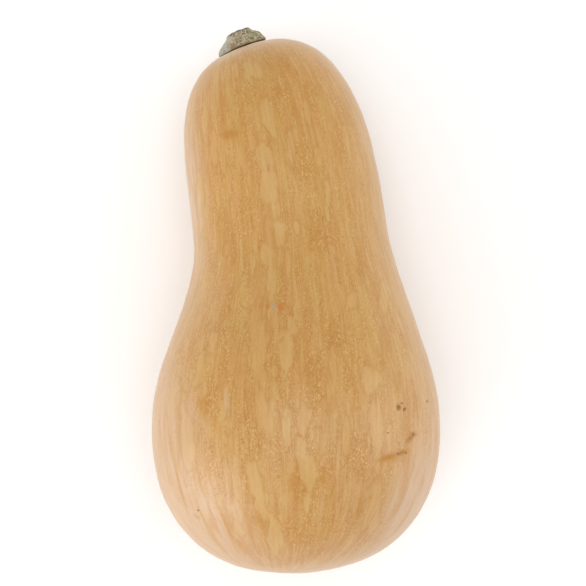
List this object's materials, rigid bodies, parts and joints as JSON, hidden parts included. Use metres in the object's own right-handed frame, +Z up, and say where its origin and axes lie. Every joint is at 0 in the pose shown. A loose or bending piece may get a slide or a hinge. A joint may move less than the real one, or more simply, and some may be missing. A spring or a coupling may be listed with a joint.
{
  "type": "winter squash",
  "caption": "Pale tan butternut squash lying on its side, with a round bulb, a thick gently bent neck and a short dried stem stub.",
  "frame": {"origin": "middle of the bounding box in X and Y, on the ground it rests on", "axes": "+Y from the blossom end to the stem end, +Z up, +X to the right of the neck's bend seen from above"},
  "size_m": [0.119, 0.229, 0.1178],
  "materials": {
    "skin": "satin waxy rind, pale tan with lighter streaks along its length",
    "stem": "dry matt corky stub, tan and grey-green"
  },
  "bodies": {
    "root": {"fruit": "skin", "stem": "stem"}
  },
  "joints": []
}
